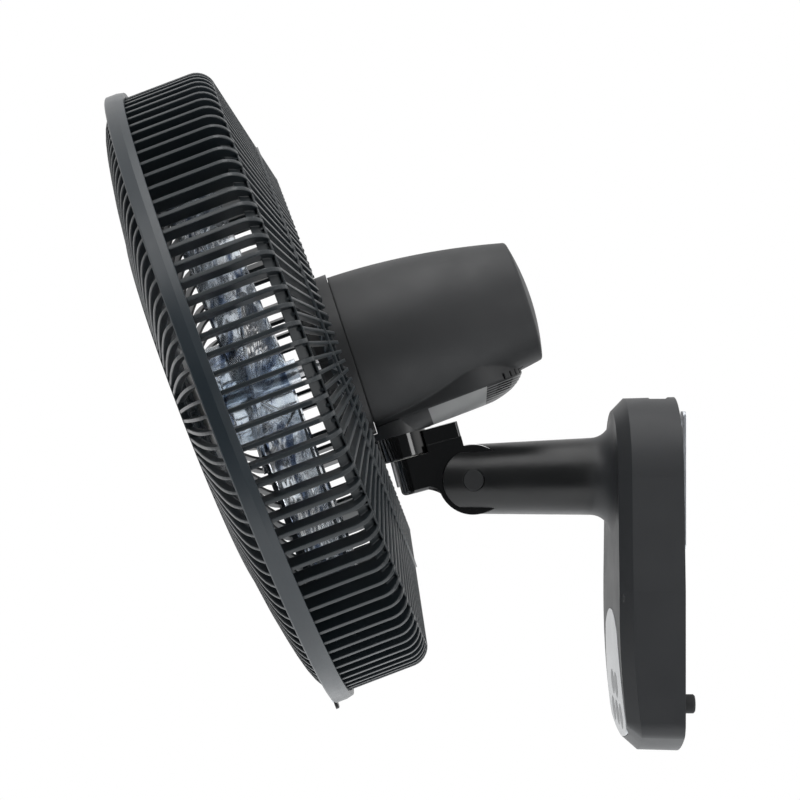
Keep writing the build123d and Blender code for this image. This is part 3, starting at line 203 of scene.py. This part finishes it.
def metal(name, colour, rough, brushed=(1, 1, 1), grain=0.00001):
    """Machined or plated metal: brushed streaks, uneven plating and dull spots."""
    s = Shader(name)
    streak = s.noise(900.0, 3.0, 0.6, stretch=brushed)
    body = s.cloudy(45.0, 4.0, scaled(colour, 0.82), scaled(colour, 1.08))
    s.put("Base Color", s.mix(s.span(streak, 0.4, 0.7, 0.0, 0.4), body, scaled(colour, 0.7)))
    s.put("Metallic", 1.0)
    s.put("Roughness", s.span(streak, 0.3, 0.7, rough - 0.08, rough + 0.12))
    s.put("Normal", s.bump(streak, grain, s.bevel(0.0003)))
    return s


def silver_lacquer():
    """Control panel: lacquer with a fine metal flake and a soft sheen."""
    s = Shader("silver_lacquer")
    flake = s.noise(5200.0, 1.0)
    body = s.cloudy(11.0, 3.0, (0.40, 0.41, 0.42), (0.45, 0.46, 0.47))
    s.put("Base Color", s.mix(s.span(flake, 0.5, 0.75, 0.0, 0.5), body, (0.62, 0.63, 0.64)))
    s.put("Metallic", 0.45)
    s.put("Roughness", s.uneven(30.0, 4.0, 0.30, 0.40))
    s.put("Coat Weight", 0.25)
    s.put("Normal", s.bump(flake, 0.000006, s.bevel(0.0007)))
    return s


def circuit_board():
    """Solder mask with tracks and pads."""
    s = Shader("circuit_board")
    tracks = s.span(s.noise(260.0, 1.0), 0.49, 0.51, 0.0, 1.0)
    s.put("Base Color", s.mix(tracks, (0.02, 0.11, 0.045), (0.03, 0.17, 0.07)))
    s.put("Roughness", s.uneven(80.0, 2.0, 0.3, 0.45))
    s.put("Normal", s.bump(tracks, 0.00004, s.bevel(0.0003)))
    return s


def smoky_blue_clear():
    """Blades: clear smoky blue, wavy from moulding, with dark streaks."""
    s = Shader("smoky_blue_clear")
    flow = s.span(s.noise(16.0, 3.0, 0.55, stretch=(1, 2.2, 1)), 0.35, 0.65, 0.0, 1.0)
    streak = s.span(s.noise(30.0, 3.0, 0.6, stretch=(1, 2.5, 1)), 0.52, 0.62, 0.0, 1.0, smooth=True)
    pale = s.mix(flow, (0.88, 0.91, 0.94), (0.66, 0.73, 0.80))
    s.put("Base Color", s.mix(streak, pale, (0.13, 0.175, 0.27)))
    s.put("Transmission Weight", 0.94)
    s.put("IOR", 1.45)
    s.put("Roughness", s.uneven(60.0, 3.0, 0.02, 0.07))
    s.put("Normal", s.bump(s.noise(34.0, 2.0, 0.4), 0.0010))
    return s


def box_and_arm_plastic():
    """Wall box: fine-grained charcoal, with the arm in a darker and smoother black."""
    s = Shader("box_and_arm_plastic")
    reach = s.span(s.split(s.place)["Y"], ARM_END, BOX_START, 1.0, 0.0, smooth=True)
    box_colour = s.cloudy(9.0, 4.0, (0.026, 0.027, 0.029), (0.032, 0.033, 0.035))
    arm_colour = s.cloudy(9.0, 4.0, (0.0055, 0.0058, 0.0062), (0.0075, 0.0077, 0.008))
    body = s.specks(0.3, s.mix(reach, box_colour, arm_colour), (0.04, 0.041, 0.043))
    bevel = s.bevel(0.0006)
    # Painted highlight in patches along the edges, paler than the body.
    s.put("Base Color", s.mix(s.patchy_edge_highlight(bevel, 0.05, 0.3), body, (0.08, 0.082, 0.085)))
    smoother = s.math("MULTIPLY", reach, 0.14)
    s.put("Roughness", s.math("SUBTRACT", s.uneven(38.0, 4.0, 0.44, 0.52), smoother))
    s.put("Specular IOR Level", 0.38)
    s.put("Normal", s.bump(s.noise(2200.0, 2.0, 0.6), 0.00004, bevel))
    return s


def vented_plastic():
    """Under cover: black flange, a painted grey reflection of the pale floor on its rear underside, and
    fine louvres round its rear end.
    """
    s = Shader("vented_plastic")
    back, below = s.head_place()
    # Painted reflection of the pale floor: grey on the under cover's rear underside, far lighter than its
    # black.
    floor_shine = s.span(back, FLOOR_SHINE_BACK, FLOOR_SHINE_BACK + FLOOR_SHINE_STEP, 0.0, 1.0)
    floor_shine = s.math("MULTIPLY", floor_shine, s.math("GREATER_THAN", below, FLOOR_SHINE_BELOW))
    rear = s.math("GREATER_THAN", s.split(s.place)["Y"], LOUVRE_START)
    level = s.math("DIVIDE", s.math("SUBTRACT", below, LOUVRE_BELOW), LOUVRE_PITCH)
    wave = s.math("PINGPONG", s.math("SUBTRACT", level, LOUVRE_SHIFT), 0.5)
    louvre = s.span(wave, 0.22, 0.30, 0.0, 1.0)
    dark = s.cloudy(9.0, 4.0, (0.014, 0.0145, 0.0155), (0.019, 0.0195, 0.0205))
    grey = s.cloudy(24.0, 3.0, (0.30, 0.30, 0.297), (0.38, 0.38, 0.376))
    # Louvres: dark slits between strips of the painted floor reflection.
    lines = s.mix(louvre, (0.010, 0.010, 0.011), (0.17, 0.17, 0.168))
    body = s.mix(floor_shine, dark, s.mix(rear, grey, lines))
    bevel = s.bevel(0.0004)
    # Painted highlight along the edges of the black: they are drawn a little towards mid grey, which
    # darkens them on the painted grey.
    s.put("Base Color", s.mix(s.math("MULTIPLY", s.edge(bevel), 0.15), body, (0.06, 0.06, 0.06)))
    s.put("Roughness", s.uneven(38.0, 4.0, 0.38, 0.48))
    ridge = s.math("MULTIPLY", louvre, s.math("MULTIPLY", rear, floor_shine))
    grain = s.math("ADD", s.math("MULTIPLY", s.noise(2200.0, 2.0, 0.6), 0.08), ridge)
    s.put("Normal", s.bump(grain, 0.0003, bevel))
    return s


# Each plastic below may set how strong its painted edge highlight is.
black = moulded("charcoal_plastic", (0.017, 0.0175, 0.0185), 0.46)
ring = moulded("ring_plastic", (0.016, 0.023, 0.029), 0.34, grain=0.00002)
gloss = moulded(
    "gloss_black_plastic", (0.003, 0.003, 0.0032), 0.10, grain=0.000003, grain_size=400, edge_highlight=0.3, coat=0.3
)
rib = moulded("guard_plastic", (0.0115, 0.0165, 0.020), 0.36, grain=0.00002, edge_radius=0.0013, edge_highlight=0.10)
keys = moulded("key_grey", (0.17, 0.175, 0.18), 0.38, grain=0.00001, edge_highlight=0.15)
spinner = moulded("spinner_grey", (0.30, 0.31, 0.32), 0.45, edge_highlight=0.1)
rubber = moulded("soft_rubber", (0.02, 0.02, 0.021), 0.75, grain=0.00008, grain_size=1300, edge_highlight=0.1)
nylon = moulded("natural_nylon", (0.60, 0.58, 0.52), 0.4, grain=0.00002, edge_highlight=0.05)
case = moulded("capacitor_case", (0.70, 0.70, 0.68), 0.4, grain=0.00002, edge_highlight=0.05)
shell = moulded("shell_plastic", (0.0195, 0.020, 0.021), 0.56, edge_radius=0.0022, edge_highlight=0.05)
steel = metal("turned_steel", (0.56, 0.56, 0.57), 0.28, brushed=(1, 1, 12))
zinc = metal("zinc_plate", (0.60, 0.62, 0.65), 0.34)
alloy = metal("cast_alloy", (0.58, 0.59, 0.60), 0.5, grain=0.00005)
copper = metal("copper_wire", (0.66, 0.30, 0.13), 0.36, brushed=(1, 8, 8), grain=0.00006)
sheets = metal("laminated_steel", (0.32, 0.32, 0.33), 0.45, brushed=(1, 30, 1), grain=0.00003)

FINISH = {
    black: "back_cover pivot_caps motor_front_cover guard_nut centre_cap guard_latch",
    box_and_arm_plastic(): "front_housing",
    shell: "motor_shell",
    ring: "guard_ring",
    gloss: "neck swivel_collar",
    rib: "rear_guard front_guard",
    keys: "button_1 button_2 button_3 button_4 button_5",
    spinner: "blade_nut",
    rubber: "rubber_feet cord_bush",
    nylon: "key_switches tilt_washers thrust_washer",
    case: "capacitor",
    steel: "pivot_post front_bearing rear_bearing motor_shaft blade_pin",
    zinc: (
        "wall_bracket board_screws cover_screws tilt_bolt tilt_nut "
        "post_nut pan_screws tie_bolts guard_screw"
    ),
    alloy: "head_chassis front_bell rear_bell",
    copper: "stator_windings",
    sheets: "stator_core rotor_core",
    silver_lacquer(): "control_panel",
    circuit_board(): "control_board",
    smoky_blue_clear(): "fan_blade",
    vented_plastic(): "under_cover",
}
for shader, names in FINISH.items():
    for name in names.split():
        obj = nodes[name]
        if not obj.material_slots:
            obj.data.materials.append(shader.mat)
        for material_slot in obj.material_slots:
            material_slot.material = shader.mat


# ------------------------------------------------------------------ studio
def plane(name, size, location, colour):
    """A plain painted square, which glows a little in reflections."""
    mesh = bpy.data.meshes.new(name)
    h = size / 2
    mesh.from_pydata([(-h, -h, 0), (h, -h, 0), (h, h, 0), (-h, h, 0)], [], [(0, 1, 2, 3)])
    obj = bpy.data.objects.new(name, mesh)
    obj.location = location
    bpy.context.scene.collection.objects.link(obj)
    s = Shader(name + "_paint")
    s.put("Base Color", s.mix(s.noise(3.0), scaled(colour, 0.99), colour))
    s.put("Roughness", 0.9)
    s.put("Emission Color", (1, 1, 1, 1))
    glossy_ray = s.node("ShaderNodeLightPath").outputs["Is Glossy Ray"]
    s.put("Emission Strength", s.math("MULTIPLY", glossy_ray, FLOOR_GLOW))
    mesh.materials.append(s.mat)
    return obj


plane("floor", 2.6, (0, -0.25, -0.80), (0.85, 0.85, 0.85))

world = bpy.data.worlds.new("studio")
bpy.context.scene.world = world
world.use_nodes = True
world.node_tree.nodes.clear()
w = Graph(world.node_tree)
path = w.node("ShaderNodeLightPath").outputs
direction = w.split(w.node("ShaderNodeTexCoord").outputs["Generated"])
# 1 away from the camera's side, 0 towards it
away = w.span(direction["X"], 0.25, 0.75, 1.0, 0.0, smooth=True)
room = w.node("ShaderNodeBackground")
room.inputs["Color"].default_value = ROOM_COLOUR
w.feed(room.inputs["Strength"], w.span(away, 0.0, 1.0, DARK_SIDE, BRIGHT_SIDE))
# The camera sees plain white, and so do reflections and the clear blades away from its side.
white = w.node("ShaderNodeBackground")
white.inputs["Color"].default_value = (1, 1, 1, 1)
white.inputs["Strength"].default_value = 1.0
mirrored = w.math("MULTIPLY", w.math("MAXIMUM", path["Is Glossy Ray"], path["Is Transmission Ray"]), away)
both = w.node("ShaderNodeMixShader")
w.feed(both.inputs[0], w.math("MAXIMUM", path["Is Camera Ray"], mirrored))
w.feed(both.inputs[1], room.outputs[0])
w.feed(both.inputs[2], white.outputs[0])
w.feed(w.node("ShaderNodeOutputWorld").inputs["Surface"], both.outputs[0])


def lamp(name, location, target, size, power):
    """A rectangular soft lamp, size in metres and power in watts, turned to its target."""
    data = bpy.data.lights.new(name, "AREA")
    data.shape = "RECTANGLE"
    data.size, data.size_y = size
    data.energy = power
    obj = bpy.data.objects.new(name, data)
    obj.location = location
    obj.rotation_euler = (Vector(target) - Vector(location)).to_track_quat("-Z", "Y").to_euler()
    bpy.context.scene.collection.objects.link(obj)


lamp("strip_lamp", location=(0.62, -0.25, 1.9), target=(0, -0.25, 0), size=(0.7, 2.2), power=17)
lamp("key_lamp", location=(1.4, -1.3, 1.7), target=(0, -0.25, 0), size=(1.0, 1.0), power=9)
lamp("fill_lamp", location=(1.8, 1.2, 0.5), target=(0, -0.2, 0), size=(0.6, 1.4), power=14)

# ------------------------------------------------------------------ camera: the photograph's side view
camera_data = bpy.data.cameras.new("camera")
camera = bpy.data.objects.new("camera", camera_data)
bpy.context.scene.collection.objects.link(camera)
camera.location = CAMERA_PLACE
camera.rotation_euler = (math.pi / 2, 0, math.pi / 2)
camera_data.sensor_width = SENSOR_WIDTH
camera_data.lens = SENSOR_WIDTH * VIEW_DISTANCE / VIEW_WIDTH
camera_data.shift_x = VIEW_SHIFT
camera_data.clip_end = 50
bpy.context.scene.camera = camera
bpy.context.scene.view_settings.view_transform = "Standard"
